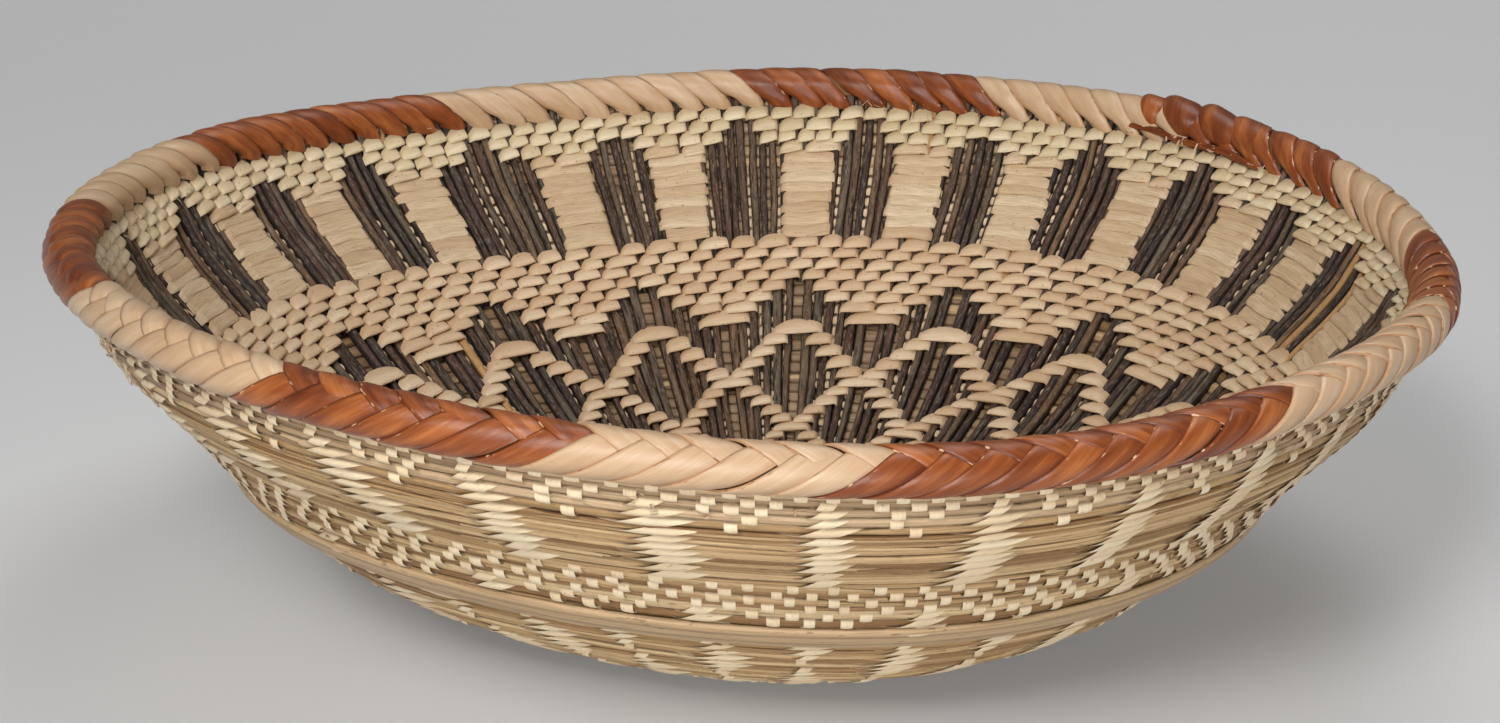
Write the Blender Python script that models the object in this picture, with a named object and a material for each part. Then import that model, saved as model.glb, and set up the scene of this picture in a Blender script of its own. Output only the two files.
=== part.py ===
# Basket bowl in wrapped twining: dark sticks inside, grass rows outside, pale palm strips that
# bind them, and a rim of two hoops wrapped with natural and dyed strips.
# Metres, Z up. The origin is on the table under the middle of the rim.
import math

import bmesh
import bpy

# Driving sizes
RIM_RADIUS = 0.190  # from the bowl's axis to the middle of the rim roll
RIM_HEIGHT = 0.1078  # from the table to the middle of the rim roll
RIM_ROLL_WIDTH = 0.0124
ROLL_HEIGHT_SHARE = 0.92
BASE_RADIUS = 0.058  # of the flat that rests on the table
WEFT_THICKNESS = 0.0030
STICK_THICKNESS = 0.0030
STICK_GROOVE_SHARE = 0.4  # of STICK_THICKNESS, the groove between two sticks
PALM_THICKNESS = 0.0007
WRAP_THICKNESS = 0.0006
SPLINT_PROUD = 0.0008  # the base splint stands out this far from the grass rows
CENTRE_SHARE = 0.39  # of BASE_RADIUS, for the start disc in the middle of the floor
FLOOR_PALM_SHARE = 0.7
STICK_TIP_SHARE = 0.06  # of the roll's width: how far from its middle the stick ends stop
RIM_BITE = 0.0032  # the rim's middle lies this far under the wall's outer face
SPLICE_RISE = 0.0020

# Clearances
FIT_GAP = 0.0003
PALM_GAP = 0.0005
SLIT_GAP = 0.0005
SEAT_GAP = 0.0006
GROUP_GAP = 0.0005

# Handmade unevenness
SIDE_BELLY = 0.0170  # the lower wall is this much wider to the left and right
BASE_SHIFT_X = 0.0051
BASE_SHIFT_Y = -0.0040
BASE_LOBE = 0.0041
FLAT_LOBE_SHARE = 0.3  # the flat underneath is rounder than the wall above it
LOBE_HEIGHT_SHARE = 0.21  # of RIM_HEIGHT, where the wall has its full lobes
RIM_LIFT = 0.0037
RIM_SWELL = 0.0017
# Cosine and sine shares of RIM_LIFT for one, two and more waves round the rim
LIFT_SHARES = ((-0.82, -0.24), (0.06, 1.0), (-0.1, 0.0), (-0.28, -0.2), (-0.1, 0.16), (-0.14, 0.06))
# The same for RIM_SWELL, from two waves on
SWELL_SHARES = ((-0.16, 0.16), (1.0, 0.48), (0.12, -0.16), (-0.24, 0.15), (0.24, 0.1))

# The wall's outline from the base's edge to the rim's middle: shares of the reach from the base
# to the rim, of the rim's height, of SIDE_BELLY and of RIM_BITE
OUTLINE_SHARES = (
    (0.0, 0.0, 0.16, 0.0),
    (0.158, 0.056, 0.41, 0.0),
    (0.375, 0.209, 0.94, 0.0),
    (0.515, 0.354, 0.93, 0.0),
    (0.704, 0.564, 0.6, 0.0),
    (0.896, 0.784, 0.2, 0.4),
    (0.965, 0.913, 0.0, 0.9),
    (1.0, 1.0, 0.0, 1.0),
)

# Counts of the weave
WALL_ROWS = 38  # grass rows from the rim down to the base's edge
UPPER_BAND_ROWS = 5
SPIRE_TOP_ROW = 2
PANEL_END_ROW = 12
MIDDLE_BAND_END_ROW = 16
TOOTH_END_ROW = 20
SPLINT_ROWS = (17.6, 19.6)
STAR_STEP_ROWS = 5  # rows that a zigzag takes from its peak to its valley
STAR_LINE_ROWS = 1.3
SECOND_STAR_ROW = 26.6
STAR_POINTS = 16
STAR_ANGLE = 84.0  # of the first star point, in degrees
# Sticks from the middle of one light panel to the next, all the way round
SPIRE_STICKS = (12, 10, 12, 12, 11, 11, 13, 11, 15, 11, 11, 12, 10, 11,
                11, 10, 11, 11, 10, 11, 10, 11, 10, 10, 10, 10, 9, 10)
FIRST_PANEL_ANGLE = 3.5
PANEL_HALF_SHARE = 0.23  # of a spire's width, on each side of a panel's middle
PANEL_EDGE_SHARE = 0.25

# Angles in degrees where the rim's wrap changes, from natural to dyed and back
WRAP_ANGLES = (
    (235.0, 259.2),
    (278.2, 309.6),
    (339.7, 359.6),
    (17.8, 44.0),
    (66.6, 91.9),
    (124.9, 155.8),
    (179.3, 209.5),
)
SPLICE_ANGLES = (29.5, 43.5)
SPLICE_STEPS = 4
SPLICE_CLOCK = (20, 55, 90, 120)  # degrees round the rim's section, up from the outside
SPLICE_RISE_SHARES = (0.35, 0.8, 1.0, 0.7, 0.35)
NEAR_ANGLE = 1.6  # rim stations closer than this become one

# A hoop's section has its corners at the slit, and two points this far to each side of its top
HOOP_TOP_CLOCK = 23


def colour_material(name, colour, roughness):
    material = bpy.data.materials.new(name)
    material.use_nodes = True
    shader = material.node_tree.nodes["Principled BSDF"]
    shader.inputs["Base Color"].default_value = (*colour, 1.0)
    shader.inputs["Roughness"].default_value = roughness
    shader.inputs["Metallic"].default_value = 0.0
    material.diffuse_color = (*colour, 1.0)
    return material


def grass_material():
    return colour_material("dry_grass", (0.37, 0.26, 0.12), 0.75)


def stick_material():
    return colour_material("dark_bark", (0.07, 0.053, 0.046), 0.85)


def palm_material():
    return colour_material("pale_palm", (0.66, 0.5, 0.3), 0.6)


def natural_wrap_material():
    return colour_material("natural_strip", (0.68, 0.46, 0.26), 0.45)


def dyed_wrap_material():
    return colour_material("dyed_strip", (0.27, 0.075, 0.022), 0.4)


def core_material():
    return colour_material("rim_core_grass", (0.42, 0.3, 0.15), 0.8)


# The bowl's surface

def waves(shares, first, angle):
    total = 0.0
    for step, (cosine, sine) in enumerate(shares):
        turns = (first + step) * angle
        total += cosine * math.cos(turns) + sine * math.sin(turns)
    return total


def rim_radius(angle):
    return RIM_RADIUS + RIM_SWELL * waves(SWELL_SHARES, 2, angle)


def rim_height(angle):
    return RIM_HEIGHT + RIM_LIFT * waves(LIFT_SHARES, 1, angle)


def outline_knots():
    """Girth from the bowl's middle, reach, height, belly and bite shares, and the unit step inwards."""
    places = [(0.0, 0.0, 0.0, 0.0)]
    for reach, height, *shares in OUTLINE_SHARES:
        places.append((BASE_RADIUS + reach * (RIM_RADIUS - BASE_RADIUS), height * RIM_HEIGHT, *shares))
    normals = []
    for one, two in zip(places, places[1:]):
        length = math.hypot(two[0] - one[0], two[1] - one[1])
        normals.append(((one[1] - two[1]) / length, (two[0] - one[0]) / length))
    knots = []
    girth = 0.0
    for index, (reach, height, *shares) in enumerate(places):
        if index:
            girth += math.hypot(reach - places[index - 1][0], height - places[index - 1][1])
        before = normals[max(index - 1, 0)]
        after = normals[min(index, len(normals) - 1)]
        if index == 0:
            before = after
        inward = before[0] + after[0]
        upward = before[1] + after[1]
        length = math.hypot(inward, upward)
        knots.append((girth, reach, height, *shares, inward / length, upward / length))
    return knots


ROLL_HALF_WIDTH = RIM_ROLL_WIDTH / 2
ROLL_HALF_HEIGHT = ROLL_HALF_WIDTH * ROLL_HEIGHT_SHARE
KNOTS = outline_knots()
GIRTH = KNOTS[-1][0]
BASE_GIRTH = KNOTS[1][0]
WALL_TOP = GIRTH - ROLL_HALF_WIDTH - SEAT_GAP
ROW_PITCH = (WALL_TOP - BASE_GIRTH) / WALL_ROWS


def row_girth(row):
    return WALL_TOP - row * ROW_PITCH


def outline_at(girth):
    for low, high in zip(KNOTS, KNOTS[1:]):
        if girth <= high[0]:
            break
    share = (girth - low[0]) / (high[0] - low[0])
    return [a + share * (b - a) for a, b in zip(low[1:], high[1:])]


ENTRY_HEIGHT = outline_at(WALL_TOP)[1]


def rim_middle():
    """Middle of the rim's outer edge, which is where the origin lies."""
    xs = []
    ys = []
    for angle in rim_angles():
        reach = rim_radius(angle) + ROLL_HALF_WIDTH
        xs.append(reach * math.cos(angle))
        ys.append(reach * math.sin(angle))
    return (min(xs) + max(xs)) / 2, (min(ys) + max(ys)) / 2


def wall_point(angle, girth, depth):
    """A point at this depth under the wall's outer face."""
    reach, height, belly, bite, inward, upward = outline_at(girth)
    depth -= bite * RIM_BITE
    rise = min(1.0, height / ENTRY_HEIGHT)
    fall = 1.0 - rise
    grow = min(1.0, reach / BASE_RADIUS)
    radius = reach + depth * inward + belly * SIDE_BELLY * (1.0 + math.cos(2 * angle)) / 2
    radius *= 1.0 + rise * (rim_radius(angle) / RIM_RADIUS - 1.0)
    lobe = min(1.0, FLAT_LOBE_SHARE + (1.0 - FLAT_LOBE_SHARE) * height / (LOBE_HEIGHT_SHARE * RIM_HEIGHT))
    radius -= lobe * BASE_LOBE * grow * fall * math.cos(3 * angle)
    lift = rise * (rim_height(angle) - RIM_HEIGHT)
    return (
        radius * math.cos(angle) + BASE_SHIFT_X * fall - MIDDLE[0],
        radius * math.sin(angle) + BASE_SHIFT_Y * fall - MIDDLE[1],
        height + depth * upward + lift,
    )


def rim_point(angle, out, up):
    """A point beside the middle of the rim roll."""
    radius = rim_radius(angle) + out
    return (
        radius * math.cos(angle) - MIDDLE[0],
        radius * math.sin(angle) - MIDDLE[1],
        rim_height(angle) + up,
    )


# Angles that the pieces share

def panel_angles():
    """Middles of the light panels, with the first one again at the end."""
    total = sum(SPIRE_STICKS)
    angles = [math.radians(FIRST_PANEL_ANGLE)]
    for count in SPIRE_STICKS:
        angles.append(angles[-1] + 2 * math.pi * count / total)
    return angles


def shared_angles(shares):
    angles = panel_angles()
    found = []
    for one, two in zip(angles, angles[1:]):
        for share in shares:
            found.append(one + share * (two - one))
    return found


def weft_angles():
    return shared_angles((0.0, 0.5))


def splice_angles():
    first, last = SPLICE_ANGLES
    return [math.radians(first + (last - first) * i / SPLICE_STEPS) for i in range(SPLICE_STEPS + 1)]


def rim_angles():
    """Stations round the rim: the wraps' ends, the splice, and the weft's where there is room."""
    turn = 2 * math.pi
    kept = [math.radians(a) % turn for pair in WRAP_ANGLES for a in pair] + splice_angles()
    near = math.radians(NEAR_ANGLE)
    found = list(dict.fromkeys(kept))
    for angle in weft_angles():
        angle %= turn
        if all(abs((angle - k + math.pi) % turn - math.pi) > near for k in kept):
            found.append(angle)
    return sorted(found)


MIDDLE = rim_middle()


# Closed bodies

def add_body(name, points, faces, material, smooth):
    mesh = bpy.data.meshes.new(name)
    mesh.from_pydata(points, [], faces)
    shape = bmesh.new()
    shape.from_mesh(mesh)
    bmesh.ops.recalc_face_normals(shape, faces=shape.faces)
    shape.to_mesh(mesh)
    shape.free()
    mesh.materials.append(material)
    body = bpy.data.objects.new(name, mesh)
    bpy.context.collection.objects.link(body)
    body.parent = bpy.data.objects["basket_bowl"]
    if smooth:
        mesh.shade_smooth()
        mesh.set_sharp_from_angle(angle=math.radians(40))
    return body


def loft(name, sections, material, ring, paired=False):
    """Joins like sections in order. A ring closes on itself; other lofts get end faces."""
    size = len(sections[0])
    points = [point for section in sections for point in section]
    faces = []
    count = len(sections)
    for step in range(count if ring else count - 1):
        here = step * size
        there = (step + 1) % count * size
        for i in range(size):
            j = (i + 1) % size
            faces.append((here + i, here + j, there + j, there + i))
    if not ring:
        for start in (0, (count - 1) * size):
            if paired:
                for i in range(size // 2 - 1):
                    faces.append((start + i, start + i + 1, start + size - 2 - i, start + size - 1 - i))
            else:
                faces.append(tuple(start + i for i in range(size)))
    return add_body(name, points, faces, material, True)


def levels_between(low, high):
    return [low] + [knot[0] for knot in KNOTS if low < knot[0] < high] + [high]


def wall_ring(name, angles, low, high, outer, inner, material):
    """A band round the wall between two girths and two depths."""
    levels = levels_between(low, high)
    sections = []
    for angle in angles:
        section = [wall_point(angle, girth, outer) for girth in levels]
        section += [wall_point(angle, girth, inner) for girth in reversed(levels)]
        sections.append(section)
    return loft(name, sections, material, True)


def floor_disc(name, angles, girth, outer, inner, material):
    """A flat disc in the middle of the floor."""
    count = len(angles)
    points = [wall_point(angle, girth, outer) for angle in angles]
    points += [wall_point(angle, girth, inner) for angle in angles]
    faces = [tuple(range(count)), tuple(range(count, 2 * count))]
    for i in range(count):
        j = (i + 1) % count
        faces.append((i, j, count + j, count + i))
    return add_body(name, points, faces, material, False)


# Depths of the layers under the wall's outer face
STICK_OUTER = WEFT_THICKNESS + FIT_GAP
STICK_INNER = STICK_OUTER + STICK_THICKNESS
PALM_OUTER = STICK_INNER + PALM_GAP
PALM_INNER = PALM_OUTER + PALM_THICKNESS


# Grass rows, outside

def make_weft():
    grass = grass_material()
    angles = weft_angles()
    half = FIT_GAP / 2
    inner = WEFT_THICKNESS
    splint_top = row_girth(SPLINT_ROWS[0])
    splint_low = row_girth(SPLINT_ROWS[1])
    panel_end = row_girth(PANEL_END_ROW)
    floor_disc("floor_weft", angles, BASE_GIRTH - half, 0.0, inner, grass)
    wall_ring("under_weft", angles, BASE_GIRTH + half, splint_low - half, 0.0, inner, grass)
    wall_ring("base_splint", angles, splint_low + half, splint_top - half, -SPLINT_PROUD, inner, grass)
    wall_ring("lower_weft", angles, splint_top + half, panel_end - half, 0.0, inner, grass)
    wall_ring("upper_weft", angles, panel_end + half, WALL_TOP, 0.0, inner, grass)


# Sticks, inside

def stick_mouth():
    """The middle of the sticks where they enter the rim, beside the rim's middle."""
    reach, height, belly, bite, inward, upward = outline_at(WALL_TOP)
    depth = (STICK_OUTER + STICK_INNER) / 2 - bite * RIM_BITE
    return reach + depth * inward - RIM_RADIUS, height + depth * upward - RIM_HEIGHT


def slit_direction():
    out, up = stick_mouth()
    length = math.hypot(out, up)
    return out / length, up / length


def rim_section_point(angle, along, across):
    """A point in the rim's section: along the slit from the rim's middle, and across it."""
    out, up = slit_direction()
    return rim_point(angle, along * out - across * up, along * up + across * out)


def make_stick_groups():
    """The sticks of each spire side by side, a rib for each, from the floor into the rim."""
    bark = stick_material()
    angles = panel_angles()
    levels = [BASE_RADIUS * CENTRE_SHARE + FIT_GAP] + [knot[0] for knot in KNOTS[1:-1]] + [WALL_TOP]
    tip = RIM_ROLL_WIDTH * STICK_TIP_SHARE
    half = STICK_THICKNESS / 2
    groove = STICK_THICKNESS * STICK_GROOVE_SHARE
    for index, (first, last) in enumerate(zip(angles, angles[1:])):
        steps = 2 * SPIRE_STICKS[index]
        cuts = [groove * (1 - step % 2) for step in range(steps + 1)]
        sections = []
        for girth in levels + [None]:
            reach = RIM_RADIUS if girth is None else outline_at(girth)[0]
            margin = GROUP_GAP / 2 / reach
            span = last - first - 2 * margin
            inner = [first + margin + span * i / steps for i in range(steps + 1)]
            outer = [first + margin + span * i / 2 for i in range(3)]
            if girth is None:
                section = [rim_section_point(angle, tip, cut - half) for angle, cut in zip(inner, cuts)]
                section += [rim_section_point(angle, tip, half) for angle in reversed(outer)]
            else:
                section = [wall_point(angle, girth, STICK_INNER - cut) for angle, cut in zip(inner, cuts)]
                section += [wall_point(angle, girth, STICK_OUTER) for angle in reversed(outer)]
            sections.append(section)
        loft(f"stick_group_{index + 1:02d}", sections, bark, False)


def make_centre_start():
    radius = BASE_RADIUS * CENTRE_SHARE
    floor_disc("centre_start", weft_angles(), radius, STICK_OUTER, STICK_INNER, stick_material())


# Palm strips, inside

def palm_ring(name, stations, material):
    """A thin ring over the sticks. Each station is an angle with its lower and upper row."""
    sections = []
    for angle, low_row, high_row in stations:
        low = row_girth(low_row)
        high = row_girth(high_row)
        levels = (low, (low + high) / 2, high)
        section = [wall_point(angle, girth, PALM_OUTER) for girth in levels]
        section += [wall_point(angle, girth, PALM_INNER) for girth in reversed(levels)]
        sections.append(section)
    return loft(name, sections, material, True)


def make_upper_palm():
    angles = panel_angles()
    stations = []
    end_row = PANEL_END_ROW - FIT_GAP / ROW_PITCH
    for one, two in zip(angles, angles[1:]):
        width = two - one
        stations.append((one + PANEL_HALF_SHARE * width, end_row, 0))
        stations.append((one + PANEL_EDGE_SHARE * width, UPPER_BAND_ROWS, 0))
        stations.append((one + width / 2, SPIRE_TOP_ROW, 0))
        stations.append((two - PANEL_EDGE_SHARE * width, UPPER_BAND_ROWS, 0))
        stations.append((two - PANEL_HALF_SHARE * width, end_row, 0))
    return palm_ring("upper_palm_band", stations, palm_material())


def star_stations(rows_at_peak, rows_at_valley, quarters):
    """Stations of a zigzag ring: its lower and upper row at each star point and between them."""
    stations = []
    step = 2 * math.pi / STAR_POINTS / quarters
    for i in range(STAR_POINTS * quarters):
        angle = math.radians(STAR_ANGLE) + i * step
        place = i % quarters / quarters
        share = 1.0 - abs(2 * place - 1.0)
        rows = [a + share * (b - a) for a, b in zip(rows_at_peak, rows_at_valley)]
        stations.append((angle, *rows))
    return stations


def make_star_palm():
    palm = palm_material()
    top = PANEL_END_ROW
    line = STAR_LINE_ROWS
    drop = STAR_STEP_ROWS
    teeth = star_stations((MIDDLE_BAND_END_ROW, top), (TOOTH_END_ROW, top), 4)
    palm_ring("middle_palm_band", teeth, palm)
    first = TOOTH_END_ROW
    one = star_stations((first + line, first), (first + drop + line, first + drop), 4)
    palm_ring("star_zigzag_1", one, palm)
    second = SECOND_STAR_ROW
    two = star_stations((second + drop + line, second + drop), (second + line, second), 4)
    palm_ring("star_zigzag_2", two, palm)


def make_floor_palm():
    radius = BASE_RADIUS * FLOOR_PALM_SHARE
    floor_disc("floor_palm", weft_angles(), radius, PALM_OUTER, PALM_INNER, palm_material())


# Rim

def hoop_clocks(start):
    """Places round the roll's section, in degrees from the slit, for the hoop on one side of it."""
    corner = (STICK_THICKNESS / 2 + SLIT_GAP) / (ROLL_HALF_HEIGHT - WRAP_THICKNESS - FIT_GAP)
    slit = math.degrees(math.asin(corner))
    return [start + clock for clock in (slit, 90 - HOOP_TOP_CLOCK, 90 + HOOP_TOP_CLOCK, 180 - slit)]


def clock_point(angle, clock, inset):
    """A point on the rim roll's section, turned from the slit, at this depth under its face."""
    out, up = slit_direction()
    turn = math.atan2(up, out) + math.radians(clock)
    return rim_point(
        angle,
        (ROLL_HALF_WIDTH - inset) * math.cos(turn),
        (ROLL_HALF_HEIGHT - inset) * math.sin(turn),
    )


def make_hoops():
    core = core_material()
    inset = WRAP_THICKNESS + FIT_GAP
    for name, start in (("outer_hoop", 0), ("inner_hoop", 180)):
        clocks = hoop_clocks(start)
        sections = [[clock_point(angle, clock, inset) for clock in clocks] for angle in rim_angles()]
        loft(name, sections, core, True)


def wrap_stations(first, last):
    turn = 2 * math.pi
    start = math.radians(first)
    span = math.radians((last - first) % 360)
    near = math.radians(NEAR_ANGLE) / 2
    found = sorted((angle - start + near) % turn - near for angle in rim_angles())
    between = [start + step for step in found if near < step < span - near]
    return [start] + between + [start + span]


def make_wrap(name, first, last, material):
    """A stretch of strip bound over both hoops, open at the slit where the sticks come in."""
    angles = wrap_stations(first, last)
    sections = []
    for place, angle in enumerate(angles):
        shift = FIT_GAP / 2 / RIM_RADIUS
        if place == 0:
            angle += shift
        if place == len(angles) - 1:
            angle -= shift
        clocks = hoop_clocks(0) + hoop_clocks(180)
        section = [clock_point(angle, clock, 0.0) for clock in clocks]
        section += [clock_point(angle, clock, WRAP_THICKNESS) for clock in reversed(clocks)]
        sections.append(section)
    loft(name, sections, material, False, True)


def make_wraps():
    natural = natural_wrap_material()
    dyed = dyed_wrap_material()
    for index, (first, last) in enumerate(WRAP_ANGLES):
        following = WRAP_ANGLES[(index + 1) % len(WRAP_ANGLES)][0]
        make_wrap(f"dyed_wrap_{index + 1}", first, last, dyed)
        make_wrap(f"natural_wrap_{index + 1}", last, following, natural)


def make_splice():
    """The raised knot where the wrapping strip starts and ends."""
    sections = []
    for angle, rise in zip(splice_angles(), SPLICE_RISE_SHARES):
        under = []
        over = []
        for clock in SPLICE_CLOCK:
            turn = math.radians(clock)
            for row, lift in ((under, FIT_GAP), (over, FIT_GAP + SPLICE_RISE * rise)):
                out = (ROLL_HALF_WIDTH + lift) * math.cos(turn)
                up = (ROLL_HALF_HEIGHT + lift) * math.sin(turn)
                row.append(rim_point(angle, out, up))
        sections.append(under + over[::-1])
    loft("rim_splice", sections, dyed_wrap_material(), False, True)


def build():
    for item in list(bpy.data.objects):
        bpy.data.objects.remove(item, do_unlink=True)
    root = bpy.data.objects.new("basket_bowl", None)
    bpy.context.collection.objects.link(root)
    make_weft()
    make_centre_start()
    make_stick_groups()
    make_upper_palm()
    make_star_palm()
    make_floor_palm()
    make_hoops()
    make_wraps()
    make_splice()


build()
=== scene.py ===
import math

import bpy
import numpy as np
from mathutils import Matrix, Vector


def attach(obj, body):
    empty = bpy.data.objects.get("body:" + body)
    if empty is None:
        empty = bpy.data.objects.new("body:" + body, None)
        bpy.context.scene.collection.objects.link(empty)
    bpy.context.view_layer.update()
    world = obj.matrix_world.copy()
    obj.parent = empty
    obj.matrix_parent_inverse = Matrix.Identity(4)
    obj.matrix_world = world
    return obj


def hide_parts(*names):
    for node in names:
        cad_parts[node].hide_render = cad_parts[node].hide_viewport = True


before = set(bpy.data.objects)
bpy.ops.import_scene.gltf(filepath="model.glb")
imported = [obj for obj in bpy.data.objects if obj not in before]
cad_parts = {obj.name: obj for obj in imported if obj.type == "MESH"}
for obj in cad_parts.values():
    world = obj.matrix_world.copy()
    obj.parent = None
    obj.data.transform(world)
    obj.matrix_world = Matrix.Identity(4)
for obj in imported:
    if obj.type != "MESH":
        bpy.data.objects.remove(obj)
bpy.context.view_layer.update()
dice = np.random.default_rng(11)
turn = 2 * math.pi
mm = 0.001
tableGap = 0.1 * mm  # nothing reaches below this height
print("frame loaded")

# the bowl's surface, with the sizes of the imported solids, in mm
bowl = {
    "rimRadius": 190.0,
    "rimHeight": 107.8,
    "rollHalfWidth": 5.5,
    "rollHalfHeight": 5.0,
    "baseRadius": 58.0,
    "belly": 17.0,
    "shift": (5.1, -4.0),
    "lobe": 4.1,
    "entryHeight": 101.7,
    "lobeRise": (0.3, 32),
    "bite": 3.2,
    "middle": (1.3, -0.65),
    # the wall from the base to the rim: shares of the reach, the height, the belly and the bite
    "outline": [
        (0.0, 0.0, 0.16, 0.0), (0.158, 0.056, 0.41, 0.0), (0.375, 0.209, 0.94, 0.0),
        (0.515, 0.354, 0.93, 0.0), (0.704, 0.564, 0.6, 0.0), (0.896, 0.784, 0.2, 0.4),
        (0.965, 0.913, 0.0, 0.9), (1.0, 1.0, 0.0, 1.0),
    ],
    "lift": [(-3.03, -0.9), (0.21, 3.72), (-0.36, 0.03), (-1.05, -0.77), (-0.38, 0.6), (-0.5, 0.22)],
    "swell": [(-0.28, 0.27), (1.7, 0.82), (0.2, -0.28), (-0.41, 0.25), (0.41, 0.16)],
}

# the weave: rows counted down from the rim, sticks counted round; depths are under the wall's outer face
weave = {
    # row and its girth from the floor's middle, at the back of the bowl and at its front
    "rowsBack": [(-2, 231.0), (0, 222.3), (1, 218.0), (2, 213.4), (4, 204.4), (12, 168.9), (16, 152.2),
                 (20, 135.3), (24, 118.1), (28, 102.4), (32, 88.0), (51, 16.0), (56, 0.0)],
    "rowsFront": [(-2, 230.8), (0, 226.0), (1, 223.4), (2, 220.5), (3, 216.9), (4, 213.1), (5, 208.8),
                  (6, 205.0), (8, 197.6), (9, 192.8), (10, 186.6), (11, 180.8), (12, 175.3), (14, 166.2),
                  (17, 151.3), (18, 146.0), (21, 133.2), (24, 120.5), (28, 103.5), (32, 88.0), (51, 16.0),
                  (56, 0.0)],
    "upperSticks": 306,
    "firstPanel": 3.5,
    "spires": [12, 10, 12, 12, 11, 11, 13, 11, 15, 11, 11, 12, 10, 11,
               11, 10, 11, 11, 10, 11, 10, 11, 10, 10, 10, 10, 9, 10],
    "lowerSticks": 192,
    "starAngle": 84.0,
    "stickDepth": 4.75,
    "palmDepth": 6.3,
    "stemDepth": 0.15,
}


def smoothCurve(xs, ys):
    # a curve through the points that never overshoots them; gives value and slope
    xs = np.array(xs, float)
    ys = np.array(ys, float)
    steps = np.diff(xs)
    slopes = np.diff(ys) / steps
    lean = np.zeros(len(xs))
    lean[0] = slopes[0]
    lean[-1] = slopes[-1]
    for k in range(1, len(xs) - 1):
        if slopes[k - 1] * slopes[k] > 0:
            one = 2 * steps[k] + steps[k - 1]
            two = steps[k] + 2 * steps[k - 1]
            lean[k] = (one + two) / (one / slopes[k - 1] + two / slopes[k])

    def at(x):
        k = np.clip(np.searchsorted(xs, x) - 1, 0, len(steps) - 1)
        h = steps[k]
        t = (x - xs[k]) / h
        a, b, c, d = ys[k], ys[k + 1], lean[k] * h, lean[k + 1] * h
        value = a + t * (c + t * (3 * (b - a) - 2 * c - d + t * (2 * (a - b) + c + d)))
        slope = (c + t * (2 * (3 * (b - a) - 2 * c - d) + 3 * t * (2 * (a - b) + c + d))) / h
        return value, slope

    return at


def waves(pairs, first, angle):
    total = 0.0
    for step, (cosine, sine) in enumerate(pairs):
        total = total + cosine * np.cos((first + step) * angle) + sine * np.sin((first + step) * angle)
    return total


def rimRadius(angle):
    return bowl["rimRadius"] + waves(bowl["swell"], 2, angle)


def rimHeight(angle):
    return bowl["rimHeight"] + waves(bowl["lift"], 1, angle)


def outlineCurves():
    base = bowl["baseRadius"]
    reach = [0.0, base / 2] + [base + share[0] * (bowl["rimRadius"] - base) for share in bowl["outline"]]
    height = [0.0, 0.0] + [share[1] * bowl["rimHeight"] for share in bowl["outline"]]
    belly = [0.0, 0.05] + [share[2] for share in bowl["outline"]]
    bite = [0.0, 0.0] + [share[3] for share in bowl["outline"]]
    girth = np.concatenate([[0.0], np.cumsum(np.hypot(np.diff(reach), np.diff(height)))])
    return [smoothCurve(girth, values) for values in (reach, height, belly, bite)]


reachAt, heightAt, bellyAt, biteAt = outlineCurves()


def rowPlace(row, angle):
    # girth of a row, which isn't the same at the front of the bowl as at its back
    back = np.interp(row, *zip(*weave["rowsBack"]))
    front = np.interp(row, *zip(*weave["rowsFront"]))
    return back + (front - back) * (1 - np.sin(angle)) / 2


def wallPoint(angle, girth, depth):
    # a point at this depth under the wall's outer face, in metres
    angle, girth, depth = np.broadcast_arrays(angle, girth, depth)
    reach, out = reachAt(girth)
    height, up = heightAt(girth)
    length = np.hypot(out, up)
    depth = depth - biteAt(girth)[0] * bowl["bite"]
    rise = np.clip(height / bowl["entryHeight"], 0, 1.1)
    fall = 1 - np.clip(rise, 0, 1)
    grow = np.clip(reach / bowl["baseRadius"], 0, 1)
    radius = reach - depth * up / length + bellyAt(girth)[0] * bowl["belly"] * (1 + np.cos(2 * angle)) / 2
    radius = radius * (1 + rise * (rimRadius(angle) / bowl["rimRadius"] - 1))
    least, over = bowl["lobeRise"]
    lobe = np.clip(least + height / over, 0, 1)
    radius = radius - lobe * bowl["lobe"] * grow * fall * np.cos(3 * angle)
    x = radius * np.cos(angle) + bowl["shift"][0] * fall - bowl["middle"][0]
    y = radius * np.sin(angle) + bowl["shift"][1] * fall - bowl["middle"][1]
    z = height + depth * out / length + rise * (rimHeight(angle) - bowl["rimHeight"])
    return np.stack([x, y, z], -1) * mm


def rollPoint(angle, clock, lift):
    # a point over the rim roll's face; the clock runs from outside over the top to inside, in radians
    angle, clock, lift = np.broadcast_arrays(angle, clock, lift)
    radius = rimRadius(angle) + (bowl["rollHalfWidth"] + lift) * np.cos(clock)
    x = radius * np.cos(angle) - bowl["middle"][0]
    y = radius * np.sin(angle) - bowl["middle"][1]
    z = rimHeight(angle) + (bowl["rollHalfHeight"] + lift) * np.sin(clock)
    return np.stack([x, y, z], -1) * mm


def ease(x):
    x = np.clip(x, 0, 1)
    return x * x * (3 - 2 * x)


def wobble(angle, waveCount, size):
    # an uneven line that closes on itself after one turn
    total = 0.0
    for _ in range(5):
        paces = dice.integers(max(1, waveCount // 3), waveCount + 1)
        total = total + np.sin(paces * angle + dice.uniform(0, turn))
    return total * size / 2.2


# a grid's points are (grid, row, column), and these give values for each of them

def columns(table):
    # one value for each grid, from each column of a table
    return [np.array(values, float)[:, None, None] for values in zip(*table)]


def each(count, low=0.0, high=1.0):
    # one random value for each grid
    return dice.uniform(low, high, (count, 1, 1))


def down(count, first=0.0, last=1.0):
    # even steps down the rows
    return np.linspace(first, last, count)[None, :, None]


def ring(sides, start=0.0):
    # clock angles round a tube, along the columns
    return ((np.arange(sides) + start) / sides * turn)[None, None, :]


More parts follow.
